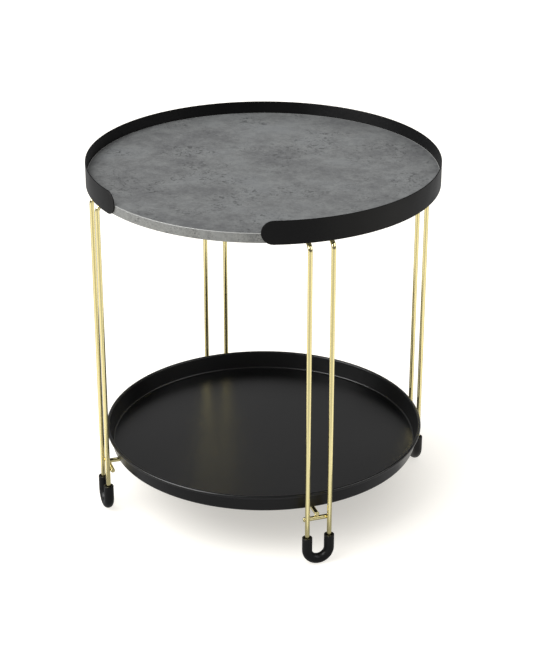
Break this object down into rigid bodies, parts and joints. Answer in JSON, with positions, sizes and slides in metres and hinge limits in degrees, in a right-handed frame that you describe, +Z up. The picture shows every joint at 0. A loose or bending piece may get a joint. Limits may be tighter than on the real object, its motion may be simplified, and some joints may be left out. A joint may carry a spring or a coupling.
{
  "type": "side table",
  "caption": "Round two-tier side table: concrete-look top in an open black steel gallery band, brass-finished hairpin wire legs with black rubber feet, and a loose black tray as lower shelf.",
  "frame": {"origin": "on the floor at the middle of the table's footprint", "axes": "+Z up; the opening of the gallery band faces -Y, so -Y is the front; the legs stand on the diagonals between X and Y"},
  "size_m": [0.4499, 0.4482, 0.47],
  "materials": {
    "concrete_laminate": "matt concrete-look melamine facing on particle board",
    "edge_strip": "matt concrete-look edge strip",
    "black_powder_coat": "matt black powder coat on steel strip",
    "black_tray_enamel": "satin black stove enamel on pressed steel sheet",
    "brass_plated_wire": "polished brass-coloured plating on steel wire",
    "black_rubber": "matt black rubber tube",
    "zinc_screw": "bright zinc plating"
  },
  "bodies": {
    "stand": {"tabletop": "concrete_laminate", "edge_banding": "edge_strip", "gallery_band": "black_powder_coat", "band_tabs": "black_powder_coat", "band_screws": "zinc_screw", "leg_screws": "zinc_screw", "cross_wire": "brass_plated_wire", "dipped_cross_wire": "brass_plated_wire", "foot_sleeves_front": "black_rubber", "foot_sleeves_back": "black_rubber", "leg_front_right": "brass_plated_wire", "leg_plate_front_right": "brass_plated_wire", "leg_bar_front_right": "brass_plated_wire", "leg_back_right": "brass_plated_wire", "leg_plate_back_right": "brass_plated_wire", "leg_bar_back_right": "brass_plated_wire", "leg_back_left": "brass_plated_wire", "leg_plate_back_left": "brass_plated_wire", "leg_bar_back_left": "brass_plated_wire", "leg_front_left": "brass_plated_wire", "leg_plate_front_left": "brass_plated_wire", "leg_bar_front_left": "brass_plated_wire"},
    "tray": {"tray": "black_tray_enamel"}
  },
  "joints": [
    {"name": "tray_lift", "type": "slide", "parent": "stand", "child": "tray", "axis": [0, 0, 1], "range_m": [0, 0.333]}
  ]
}
